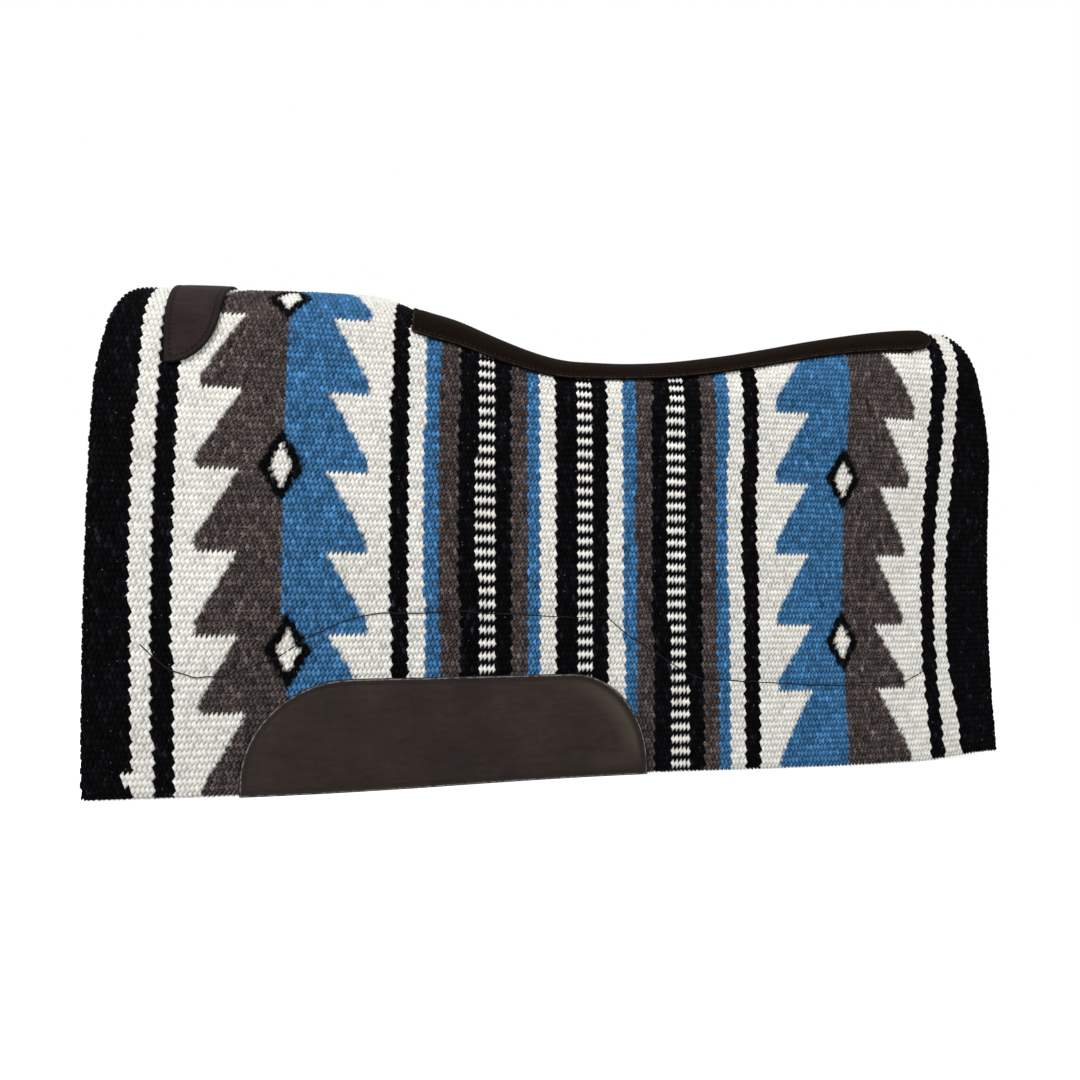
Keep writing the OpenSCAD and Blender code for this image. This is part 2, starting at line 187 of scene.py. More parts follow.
def boundary_loop(faces):
    """The open edges of a shell as one closed run of vertex numbers, in the faces' own direction."""
    following = {}
    edges = joined([np.stack([g, np.roll(g, -1, axis=1)], axis=2).reshape(-1, 2) for g in faces])
    keys = edges[:, 0].astype(np.int64) * (1 << 32) + edges[:, 1]
    back = edges[:, 1].astype(np.int64) * (1 << 32) + edges[:, 0]
    for a, b in edges[~np.isin(keys, back)]:
        following[int(a)] = int(b)
    start = next(iter(following))
    loop = [start]
    while following[loop[-1]] != start:
        loop.append(following[loop[-1]])
    return np.array(loop)


def fill(loop_xs, inner_xs):
    """Triangles of a flat polygon with loose points inside. The polygon's points are numbered first."""
    n = len(loop_xs)
    points = [Vector(p) for p in joined([loop_xs, inner_xs]).tolist()]
    _, _, triangles, origin, _, _ = delaunay_2d_cdt(
        points, [(k, (k + 1) % n) for k in range(n)], [], 1, 1e-6)
    first = [min(o) if o else -1 for o in origin]
    found = np.array([[first[v] for v in t] for t in triangles], np.int32)
    return found[(found >= 0).all(axis=1)]


def inside(points, polygon):
    """Which points lie in a polygon, by counting crossings."""
    x, y = points[:, 0][:, None], points[:, 1][:, None]
    ax, ay = polygon[:, 0][None], polygon[:, 1][None]
    bx, by = np.roll(polygon, -1, axis=0).T[:, None, :]
    crosses = ((ay > y) != (by > y)) & (x < (bx - ax) * (y - ay) / np.where(by == ay, 1e-9, by - ay) + ax)
    return crosses.sum(axis=1) % 2 == 1


def edge_distance(points, polygon, block=4000):
    """Distance from each point to the nearest edge of a polygon."""
    a, b = polygon, np.roll(polygon, -1, axis=0)
    d = b - a
    found = []
    for k in range(0, len(points), block):
        p = points[k:k + block, None, :]
        u = np.clip(((p - a) * d).sum(-1) / (d * d).sum(-1), 0, 1)
        found.append(np.linalg.norm(p - a - u[..., None] * d, axis=-1).min(axis=1))
    return joined(found) if found else np.zeros(0)


def inset(polygon, by):
    """A counter-clockwise polygon drawn in by a distance, point by point."""
    ahead = np.roll(polygon, -1, axis=0) - polygon
    ahead /= np.linalg.norm(ahead, axis=1)[:, None]
    behind = np.roll(ahead, 1, axis=0)
    normal = columns(-(ahead + behind)[:, 1], (ahead + behind)[:, 0])
    normal /= np.linalg.norm(normal, axis=1)[:, None]
    stretch = 1 / np.clip((normal * columns(-ahead[:, 1], ahead[:, 0])).sum(1), 0.5, 1)
    return polygon + normal * (by * stretch)[:, None]


def spaced(polygon, step):
    """The closed polygon again, with points about step apart, its own corners kept."""
    found = []
    for a, b in zip(polygon, np.roll(polygon, -1, axis=0)):
        n = max(1, int(round(np.linalg.norm(b - a) / step)))
        found += [a + (b - a) * k / n for k in range(n)]
    return np.array(found)


def smooth_noise(x, y, scale, seed, cells=257, shift=1000):
    """Value noise in -1 to 1 on two coordinates, the same every run."""
    table = np.random.default_rng(seed).uniform(-1, 1, (cells, cells))
    u, v = x / scale + shift, y / scale + shift
    i, j = np.floor(u).astype(int), np.floor(v).astype(int)
    fu, fv = ease(u - i), ease(v - j)
    i0, j0, i1, j1 = i % cells, j % cells, (i + 1) % cells, (j + 1) % cells
    return ((table[i0, j0] * (1 - fu) + table[i1, j0] * fu) * (1 - fv)
            + (table[i0, j1] * (1 - fu) + table[i1, j1] * fu) * fv)


def set_uv(obj, uv):
    layer = obj.data.uv_layers.new(name="OFBake")
    index = np.zeros(len(obj.data.loops), np.int32)
    obj.data.loops.foreach_get("vertex_index", index)
    layer.data.foreach_set("uv", uv[index].astype(np.float32).ravel())


def set_value(obj, name, values, kind="FLOAT", domain="POINT"):
    layer = obj.data.attributes.new(name, kind, domain)
    key = "color" if kind == "FLOAT_COLOR" else "value"
    layer.data.foreach_set(key, np.asarray(values, np.float32).ravel())


def dress(obj, material, slot, *nodes):
    obj.data.materials.append(material)
    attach(obj, "root")
    if nodes:
        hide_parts(*nodes)
    return obj


# ---- camera and stage
WORLD_LIGHT = 0.32
FLOOR_WHITE = 0.85
CAMERA_PLACE = (-0.11643, -0.88872, 0.16258)
CAMERA_TURN = -12.337  # degrees from straight across the pad
LENS, SHIFT_X, SHIFT_Y = 28.53, -0.1140, 0.0629
FLOOR_HALF = 6000.0
# Name, place and aim in metres, width of the disk and power
LIGHTS = (("key", (-1.9, -2.0, 2.3), (0, 0, 0.2), 1.2, 84), ("fill", (1.8, -2.4, 1.2), (0, 0, 0.2), 2.4, 18),
          ("back", (0.3, 2.4, 2.2), (0, 0, 0.3), 2.0, 9))


def make_camera():
    data = bpy.data.cameras.new("camera")
    data.lens, data.sensor_width, data.shift_x, data.shift_y = LENS, 36, SHIFT_X, SHIFT_Y
    camera = add_object("camera", data)
    camera.location = CAMERA_PLACE
    camera.rotation_euler = (math.radians(90), 0, math.radians(CAMERA_TURN))
    bpy.context.scene.camera = camera


def area_light(name, place, aim, size, power):
    data = bpy.data.lights.new(name, "AREA")
    data.shape, data.size, data.energy = "DISK", size, power
    light = add_object(name, data)
    light.location = place
    light.rotation_euler = (Vector(aim) - Vector(place)).to_track_quat("-Z", "Y").to_euler()


class Shader:
    """The nodes of a material or the world, with short ways to add and join them."""

    def __init__(self, name, made_in="materials"):
        self.owner = getattr(bpy.data, made_in).new(name)
        self.owner.use_nodes = True
        self.tree = self.owner.node_tree
        self.base = self.tree.nodes.get("Principled BSDF")

    def put(self, socket, value):
        """Joins another node's output to a socket, or sets the socket's own value."""
        if isinstance(value, bpy.types.NodeSocket):
            self.tree.links.new(value, socket)
        elif socket.type == "RGBA" and len(value) == 3:
            socket.default_value = (*value, 1.0)
        else:
            socket.default_value = value

    def set(self, **values):
        for key, value in values.items():
            self.put(self.base.inputs[key.replace("_", " ")], value)

    def add(self, kind, **values):
        node = self.tree.nodes.new("ShaderNode" + kind)
        for key, value in values.items():
            if key in node.inputs:
                self.put(node.inputs[key], value)
            else:
                setattr(node, key, value)
        return node

    def add_in_order(self, kind, values, **settings):
        node = self.add(kind, **settings)
        for socket, value in zip(node.inputs, values):
            self.put(socket, value)
        return node.outputs[0]

    def math(self, operation, a, b):
        return self.add_in_order("Math", (a, b), operation=operation)

    def times(self, first, *others):
        for other in others:
            first = self.math("MULTIPLY", first, other)
        return first

    def ramp(self, source, low, high, to_low=0.0, to_high=1.0):
        return self.add_in_order("MapRange", (source, low, high, to_low, to_high))

    def band(self, source, start, full, fade, end):
        """1 in a range of the source, and 0 below its start and above its end."""
        return self.times(self.ramp(source, start, full), self.ramp(source, fade, end, 1, 0))

    def object_place(self):
        return self.add("TexCoord").outputs["Object"]

    def scaled(self, source, factors):
        return self.add("Mapping", Vector=source, Scale=factors).outputs[0]

    def noise(self, source, scale, detail=2.0, rough=0.5):
        """scale is one number, or three for the three axes."""
        if isinstance(scale, tuple):
            source, scale = self.scaled(source, scale), 1.0
        return self.add("TexNoise", Vector=source, Scale=scale, Detail=detail, Roughness=rough).outputs["Fac"]

    def mix(self, factor, a, b, kind="MIX"):
        node = self.add("Mix", data_type="RGBA", blend_type=kind)
        for number, value in ((0, factor), (6, a), (7, b)):
            self.put(node.inputs[number], value)
        return node.outputs[2]

    def toned(self, colour, tone):
        """A colour times a plain factor."""
        grey = self.add("CombineColor", Red=tone, Green=tone, Blue=tone)
        return self.mix(1.0, colour, grey.outputs[0], "MULTIPLY")

    def finished(self, colour, rough, shine, height, strength, distance):
        """The material, with its colour, roughness, reflection and a bump from a height."""
        bump = self.add("Bump", Height=height, Strength=strength, Distance=distance)
        self.set(Base_Color=colour, Roughness=rough, Specular_IOR_Level=shine, Normal=bump.outputs[0])
        return self.owner

    def seen_directly(self):
        """1 for a look by the camera, off something glossy or through something clear."""
        path = self.add("LightPath").outputs
        seen = self.math("ADD", path["Is Camera Ray"], path["Is Glossy Ray"])
        return self.math("ADD", seen, path["Is Transmission Ray"])


def make_stage():
    corners = np.array([[-1, -1, 0], [1, -1, 0], [1, 1, 0], [-1, 1, 0]]) * FLOOR_HALF
    floor = make_mesh("floor", corners, [[[0, 1, 2, 3]]], smooth=False)
    look = Shader("floor_paper")
    grain = look.ramp(look.noise(look.object_place(), 40), 0.3, 0.7)
    # The floor is white paper in the picture: a plain white for the camera on top of its own shade
    look.set(Base_Color=look.mix(grain, (0.8, 0.8, 0.8), (0.82, 0.82, 0.82)),
             Roughness=0.9, Specular_IOR_Level=0.0, Emission_Color=(1, 1, 1),
             Emission_Strength=look.times(look.seen_directly(), FLOOR_WHITE))
    floor.data.materials.append(look.owner)

    sky = Shader("studio", "worlds")
    bpy.context.scene.world = sky.owner
    lit, white = (sky.add("Background", Color=(1, 1, 1), Strength=strength).outputs[0]
                  for strength in (WORLD_LIGHT, 1.0))
    sky.put(sky.tree.nodes["World Output"].inputs["Surface"],
            sky.add_in_order("MixShader", (sky.seen_directly(), lit, white)))


# ---- the blanket's pattern
BLACK, WHITE, BLUE, TAUPE, CHECKS, FRONT_FIELD, REAR_FIELD = range(7)
# Where each stripe ends, from the front edge to the rear one, and its colour
STRIPES = [
    (-399.5, BLACK), (-383.3, WHITE), (-367, BLACK), (-190, FRONT_FIELD), (-175.5, BLACK), (-161, WHITE),
    (-148, BLUE), (-130.5, TAUPE), (-115, BLACK), (-97, CHECKS), (-84, BLACK), (-68.5, TAUPE),
    (-57.5, BLUE), (-42, WHITE), (-23, BLACK), (-7, CHECKS), (8, BLACK), (24, WHITE), (36.5, BLUE),
    (53, TAUPE), (68.5, BLACK), (87, CHECKS), (102.5, BLACK), (118, TAUPE), (130.5, BLUE), (146, WHITE),
    (161.5, BLACK), (350, REAR_FIELD), (366.5, BLACK), (381.5, WHITE), (HALF + 60, BLACK)]
WARP = 6.048  # distance from one warp to the next, round the girth
PICK = 1.9315  # distance from one pick of weft to the next, along the pad
TOOTH = 12 * WARP  # one tooth of the serrated edges
TOOTH_SLOPE = 0.85  # share of a tooth that slants
FRONT_TEETH_AT, REAR_TEETH_AT = 5.5, -1.5
# Three edges of each field's colours: where they stand, and how far a full tooth moves them
FRONT_EDGES = ((-315, -35), (-280, 0), (-244, 34))
REAR_EDGES = ((218, -37), (259, 0), (298, 35))
# Centres of each field's diamonds, and the half sizes of their black and white parts
FRONT_DIAMONDS = (((-283, 52), (-282, 220), (-275.5, 383)), (20, 34), (9.3, 19.5))
REAR_DIAMONDS = (((257, 42), (255, 211), (253, 380)), (19.5, 33), (9, 19))
# How far the teeth of each field are drawn up at places down the flap
FRONT_DRAWN = ((250, 300, 340, 400, 450, 508), (0, -0.3, -0.3, 4, 2.5, 2.5))
REAR_DRAWN = ((200, 300, 350, 365, 430, 470, 490, 508), (0.5, 0.5, -1.5, -1.5, 6, 4, 0, -3))
# How far the columns are drawn back at places along the pad
DRAWN_BACK = ((-400, -200, -150, -50, 150, 350), (1.2, 0.0, 0.4, 1.8, 2.6, 3.2))
# The yarns' colours, how much they vary from float to float and how mottled their fibres are
YARNS = np.array([linear(6, 6, 9), linear(245, 243, 236), linear(70, 124, 172), linear(84, 75, 73)])
VARIED = np.array([0.8, 0.04, 0.19, 0.3])
HEATHER = np.array([0.8, 0.03, 0.38, 0.8])


def bowed(x, t):
    """Where a point lies in the pattern: the columns bow, most of all towards the rear."""
    middle = 2.0 * np.sin(np.pi * np.clip(t / GIRTH_FLAT, 0, 1)) ** 2
    rear = 1.0 + 5.0 * np.cos(np.pi * (t - 115) / 250)
    return x + middle - rear * ease((x - 200) / 150) - np.interp(x, *DRAWN_BACK)


def tooth(t, start, mid_t):
    """How far the slanting side of a tooth has risen at t. mid_t tells which tooth it is."""
    return np.clip(((t - start) / TOOTH - np.floor((mid_t - start) / TOOTH)) / TOOTH_SLOPE, 0, 1)


def stripes(x, t, row):
    """What each float belongs to, from its middle and its row: a yarn or one of the two fields."""
    x = bowed(x, t)
    # A short white foot at the front hem, and a white stripe that widens towards the rear one
    x = x + 9 * ((x > -409) & (x < -399.5) & (np.abs(t - 491) < 5))
    x = x - 6 * ease((t - 390) / 90) * ease((x - 368) / 8)
    ends = np.array([e for e, _ in STRIPES])
    found = np.array([c for _, c in STRIPES])[np.clip(np.searchsorted(ends, x), 0, len(ends) - 1)]
    return np.where(found == CHECKS, np.where(row % 2 == 0, WHITE, BLACK), found)


def figures(x, t, mid_t, found):
    """The yarn at points of floats. In the two fields the slanting lines run across the floats."""
    x = bowed(x, t)

    def edges(numbers, drawn, teeth_at, shifts):
        up = np.interp(mid_t, *drawn)
        rise = tooth(t + up, teeth_at, mid_t + up)
        return [x < at + move * rise + shift for (at, move), shift in zip(numbers, shifts)]

    lean = 4.5 * ease((t - 330) / 130)
    join = -5 * ease((t - 100) / 300)
    front = np.select(edges(FRONT_EDGES, FRONT_DRAWN, FRONT_TEETH_AT, (lean, lean, 0)),
                      [WHITE, TAUPE, BLUE], WHITE)
    rear = np.select(edges(REAR_EDGES, REAR_DRAWN, REAR_TEETH_AT, (0, join, -t / 60)),
                     [WHITE, BLUE, TAUPE], WHITE)
    yarn = np.where(found == FRONT_FIELD, front, np.where(found == REAR_FIELD, rear, found))
    for centres, *sizes in (FRONT_DIAMONDS, REAR_DIAMONDS):
        for number, (half_x, half_t) in zip((BLACK, WHITE), sizes):
            near = np.min([np.abs(x - cx) / half_x + np.abs(t - ct) / half_t for cx, ct in centres], axis=0)
            yarn = np.where(near < 1, number, yarn)
    return yarn


# ---- the woven blanket
EDGE_R = BLANKET_T / 2  # the edges are rounded over the blanket's thickness
HEM_IN = 0.5  # the rounded hem stays this much inside the hem line
INTERLOCK = 2.3  # how far the floats of one row reach between those of the next
SLANT = 0.7  # how far the ends of a float are shifted along the pad
VALLEY = 2.3  # depth of the gaps between floats
INNER_FACE = BLANKET_T - 0.05
# Spread of the gaps' places and depths, and of the two points of each float's back
GAP_X, GAP_T, GAP_DEPTH = 0.16, 0.4, 0.12
BACK_X, BACK_T, BACK_DEPTH, FLOAT_DEPTH = 0.12, 0.2, 0.06, 0.14
BACK_AT, BACK_SLANT = 0.33, 0.45  # where those points lie, in warps from the middle and in slants
WRAP_LEN = math.pi * EDGE_R
SPINE_FADE = 120.0  # the front drop is taken out of the pattern over this length from the spine
UNCUT = 0.02  # where the dip is less than this, the cloth runs on over the spine
# The quilting thread's way across the flap, as x along the pad and t down it
QUILT = [(-391, 376), (-382, 386), (-368, 398), (-350, 404), (-329, 404), (-305, 396), (-284, 388),
         (-259, 371), (-232, 358), (-211, 352), (-188, 350), (-146, 348), (-112, 350), (-80, 351),
         (-39, 353), (8, 354), (18, 363), (28, 372), (40, 379), (60, 392), (80, 405), (104, 416),
         (136, 418), (183, 421), (221, 424), (259, 426), (297, 426), (327, 422), (349, 413)]
QUILT_R = 0.48
QUILT_SUNK, QUILT_SPREAD = 1.7, 3.2  # how far its seam pulls the cloth in, and how wide
QUILT_BAND = (330, 445)  # the part of the flap that it can reach


def wrapped(x, t, relief):
    """Points of the blanket's skin. Past its outline the skin goes round the edge to the inner face."""
    s = t - dip(x) - front_drop(x) * ease(np.abs(t) / SPINE_FADE)
    s = np.where(dip(x) > UNCUT, np.maximum(s, 0), s)
    over_x = np.maximum(0, x - rear_edge(s) + EDGE_R) - np.maximum(0, front_edge(s) + EDGE_R - x)
    over_s = np.maximum(0, s - girth(x) + EDGE_R + HEM_IN)
    over = np.hypot(over_x, over_s)
    turned = np.minimum(over / EDGE_R, math.pi)
    reach = (EDGE_R - relief) * np.sin(turned)
    unit = np.maximum(over, 1e-9)
    at_x = x - over_x + reach * over_x / unit
    at_s = s - over_s + reach * over_s / unit
    depth = EDGE_R - (EDGE_R - relief) * np.cos(turned)
    return at_x, at_s, depth, over


def quilt_groove(x, t):
    """How far the quilting seam pulls the cloth in."""
    sunk = np.zeros(x.shape)
    near = (t > QUILT_BAND[0]) & (t < QUILT_BAND[1])
    px, pt = x[near], t[near]
    best = np.full(px.shape, 1e9)
    for (ax, at), (bx, bt) in zip(QUILT, QUILT[1:]):
        length = (bx - ax) ** 2 + (bt - at) ** 2
        share = np.clip(((px - ax) * (bx - ax) + (pt - at) * (bt - at)) / length, 0, 1)
        best = np.minimum(best, (px - ax - share * (bx - ax)) ** 2 + (pt - at - share * (bt - at)) ** 2)
    sunk[near] = QUILT_SUNK * np.exp(-best / QUILT_SPREAD ** 2)
    return sunk


def skin_points(x, t, relief):
    """For each point its place on the flap, its depth and its place in the pattern."""
    return np.stack([*wrapped(x, t, relief)[:3], x, t], axis=1)


def weave(parity, slant):
    """The outer face of one flap's cloth: points, faces, the float of each face, which points lie on a
    float's back, and each float's middle and row."""
    first = int(math.ceil((-HALF - WRAP_LEN) / PICK))
    picks = np.arange(first, -first + 1)
    rows = int(math.ceil((GIRTH_FLAT + WRAP_LEN - EDGE_R) / WARP)) + 1
    j, k = np.meshgrid(np.arange(len(picks)), np.arange(rows + 1), indexing="ij")
    upper = (j + k + parity) % 2 == 0  # the upper end of the float below this junction
    loose = np.where(k == 0, 0, 1)
    x = picks[j] * PICK + np.where(upper, slant, -slant) + loose * random.normal(0, GAP_X, j.shape)
    t = k * WARP + np.where(upper, -INTERLOCK, INTERLOCK) + loose * random.normal(0, GAP_T, j.shape)
    relief = VALLEY + loose * random.normal(0, GAP_DEPTH, j.shape) + 0.5 * quilt_groove(x, t)
    skin = [skin_points(x.ravel(), t.ravel(), relief.ravel())]
    node = np.arange(j.size).reshape(j.shape)

    j, k = np.meshgrid(np.arange(1, len(picks) - 1), np.arange(rows), indexing="ij")
    j, k = j[(j + k + parity) % 2 == 0], k[(j + k + parity) % 2 == 0]
    mid_x, mid_t = picks[j] * PICK, (k + 0.5) * WARP
    keep = (wrapped(mid_x, mid_t, 0)[3] < WRAP_LEN - 1.6) & ((mid_t > dip(mid_x)) | (dip(mid_x) < UNCUT))
    j, k, mid_x, mid_t = j[keep], k[keep], mid_x[keep], mid_t[keep]
    count = len(j)
    lift = random.normal(0, FLOAT_DEPTH, count)
    for way in (-1, 1):  # the two points along each float's back
        x = mid_x - way * slant * BACK_SLANT + random.normal(0, BACK_X, count)
        t = mid_t + way * (WARP * BACK_AT + random.normal(0, BACK_T, count))
        back = lift + random.normal(0, BACK_DEPTH, count) + quilt_groove(x, t)
        skin.append(skin_points(x, t, back))
    # A float's points: six round it, then the two of its back
    own = [node[j + dj, k + dk] for dj, dk in ((0, 0), (-1, 0), (-1, 1), (0, 1), (1, 1), (1, 0))]
    own += [node.size + np.arange(count), node.size + count + np.arange(count)]
    three, four = (joined([columns(*(own[n] for n in face)) for face in faces]) for faces in (
        ((0, 1, 6), (2, 3, 7), (3, 4, 7), (5, 0, 6)), ((1, 2, 7, 6), (4, 5, 6, 7))))
    owners = [np.tile(np.arange(count), 4), np.tile(np.arange(count), 2)]
    used, back = np.unique(joined([three.ravel(), four.ravel()]), return_inverse=True)
    faces = [back[:three.size].reshape(-1, 3), back[three.size:].reshape(-1, 4)]
    return joined(skin)[used], faces, owners, used >= node.size, mid_x, mid_t, k


def close_shell(skin, faces):
    """Adds the inner face, with a wall down to it where the cloth ends at the spine."""
    loop = boundary_loop(faces)
    low = skin[loop, 2] < BLANKET_T - 1.2
    inner = np.where(low, len(skin) - 1 + np.cumsum(low), loop)
    foot = skin[loop[low]]
    foot[:, 2] = INNER_FACE
    skin = joined([skin, foot])
    walls = {2: [], 3: [], 4: []}
    for p, q, ip, iq in zip(loop, np.roll(loop, -1), inner, np.roll(inner, -1)):
        wall = [q, p, *([ip] if ip != p else []), *([iq] if iq != q else [])]
        walls[len(wall)].append(wall)
    ring = columns(skin[inner, 3], skin[inner, 4] - dart(skin[inner, 3]))  # as if it lay flat
    grid = np.stack(np.meshgrid(np.arange(-HALF, HALF, 14.0),
                                joined([np.arange(6, 126, 8.0), np.arange(130, 520, 16.0)]),
                                indexing="ij"), axis=-1).reshape(-1, 2)
    x, s = grid.T
    room = EDGE_R + 4
    grid = grid[(x > front_edge(s) + room) & (x < rear_edge(s) - room) & (s < girth(x) - room)]
    grid = grid[inside(grid, ring)]
    grid = grid[edge_distance(grid, ring) > 3]
    face = joined([inner, len(skin) + np.arange(len(grid))])[fill(ring, grid)]
    depth = np.full((len(grid), 1), INNER_FACE)
    walls = [np.array(walls[n], int).reshape(-1, n) for n in (3, 4)]
    return joined([skin, joined([grid, depth, grid], axis=1)]), [*faces, *walls, face]


def make_blanket(name, side):
    skin, faces, owners, on_back, mid_x, mid_t, row = weave(*((0, SLANT) if side == LEFT else (1, -SLANT)))
    outer, count = len(skin), len(row)
    skin, faces = close_shell(skin, faces)
    at_x, at_s, depth, u, v = skin.T
    obj = make_mesh(name, surface(at_x, at_s, depth, side), faces if side == LEFT else flip(faces))

    # One colour for each float of a stripe
    found = stripes(mid_x, np.minimum(mid_t, GIRTH_FLAT), row)
    warm = random.normal(0, 0.008, count)
    tint = columns(1 + warm, np.ones(count), 1 - warm * 1.4)
    spread, cloud = random.normal(0, 1, count), 0.04 * smooth_noise(mid_x, mid_t, 45, 3)
    # How near each corner of a float's faces is to the float's back, for the painted shade at its ends: ends
    # 0, shoulders 0.35, back 1
    pit_shade_shares = [np.repeat([[0, 0.35, 1], [0.35, 0, 1], [0, 0.35, 1], [0.35, 0, 1]], count, axis=0),
            np.tile([[0.35, 0.35, 1, 1]], (2 * count, 1))]
    pit_shade_shares += [np.full(group.shape, 0.6) for group in faces[2:]]
    colours = []
    for group, owner in zip(faces, owners):
        number = figures(u[group], v[group], mid_t[owner][:, None], found[owner][:, None])
        shade = np.exp(spread[owner][:, None] * VARIED[number] + cloud[owner][:, None])
        rgb = YARNS[number] * (shade[:, :, None] * tint[owner][:, None, :])
        colours.append(joined([rgb, HEATHER[number][:, :, None]], axis=2))
    for group in faces[2:]:  # the inner face carries the same pattern, seen only at the edges
        lines = np.floor(v[group] / WARP).astype(int)
        number = figures(u[group], v[group], v[group], stripes(u[group], v[group], lines))
        colours.append(joined([YARNS[number] * 0.8, HEATHER[number][:, :, None]], axis=2))
    for label, kind, groups in (("nap", "FLOAT", pit_shade_shares), ("yarn", "FLOAT_COLOR", colours)):
        values = [(g if side == LEFT else g[:, ::-1]).ravel() for g in groups]
        set_value(obj, label, joined(values), kind, "CORNER")

    # The gaps between floats are sharp, so that each float is rounded by itself
    ends = np.zeros(len(obj.data.edges) * 2, np.int32)
    obj.data.edges.foreach_get("vertices", ends)
    on_back = joined([on_back, np.zeros(len(skin) - outer, bool)])
    layer = obj.data.attributes.new("sharp_edge", "BOOLEAN", "EDGE")
    layer.data.foreach_set("value", ~on_back[ends.reshape(-1, 2)].any(axis=1))
    uv = columns(u + HALF + 15, v + 8) * (1 / (2 * HALF + 30))
    uv[outer:, 1] = 0.62 + uv[outer:, 1] * 0.6
    set_uv(obj, uv)
    return obj


def wool():
    look = Shader("woven_wool")
    attribute = look.add("Attribute", attribute_name="yarn")
    yarn, mottled = attribute.outputs["Color"], attribute.outputs["Alpha"]
    nap = look.add("Attribute", attribute_name="nap").outputs["Fac"]
    place = look.add("UVMap", uv_map="OFBake").outputs[0]
    fibres = look.noise(place, (2600, 500, 1), 3.0, 0.65)
    flecks = look.noise(place, (900, 620, 1), 2.0, 0.6)
    clouds = look.noise(place, (30, 30, 1), 3.0, 0.6)
    swing = look.times(look.ramp(flecks, 0.36, 0.64, -1.0, 1.0), mottled)
    streak = look.times(look.ramp(fibres, 0.35, 0.65, -1.0, 1.0),
                        look.ramp(mottled, 0.03, 0.4, 0.06, 0.3))
    # Painted shade: the ends of the floats go down between their neighbours, and their colour is darkened
    # there, more for the mottled yarns than for the white
    pit_shade = look.ramp(nap, 0.0, 0.85, 1, 0)
    pit_shade = look.times(pit_shade, pit_shade, look.ramp(mottled, 0.03, 0.25, 0.7, 1.35))
    pit_shade = look.math("MAXIMUM", look.math("SUBTRACT", 1.0, pit_shade), 0.03)
    shade = look.times(look.math("ADD", swing, 1.0), look.math("ADD", streak, 1.0),
                       look.ramp(clouds, 0.3, 0.7, 0.96, 1.03), pit_shade)
    # Stray pale hairs that cling to the cloth
    lint = look.add("TexVoronoi", Scale=1.0, voronoi_dimensions="2D",
                    Vector=look.scaled(place, (160, 110, 1)))
    chosen = look.add("SeparateColor", Color=lint.outputs["Color"]).outputs[0]
    speck = look.times(look.ramp(lint.outputs["Distance"], 0.035, 0.07, 1, 0),
                       look.ramp(chosen, 0.86, 0.92), 0.5)
    return look.finished(look.mix(speck, look.toned(yarn, shade), linear(190, 186, 178)),
                         look.ramp(fibres, 0.3, 0.7, 0.98, 0.8), 0.06, fibres, 0.6, 0.0008)


# ---- slabs: felt, fleece, leather, tape
def loose_points(outline, ring, spacing):
    """A grid of points inside a ring, clear of it, with their distance to the outline."""
    low, high = outline.min(axis=0), outline.max(axis=0)
    across = np.arange(low[0] + spacing / 2, high[0], spacing)
    down = np.arange(low[1] + spacing / 2, high[1], spacing)
    grid = np.stack(np.meshgrid(across, down, indexing="ij"), -1).reshape(-1, 2)
    grid = grid[inside(grid, ring)]
    grid = grid[edge_distance(grid, ring) > spacing * 0.45]
    return grid, edge_distance(grid, outline)


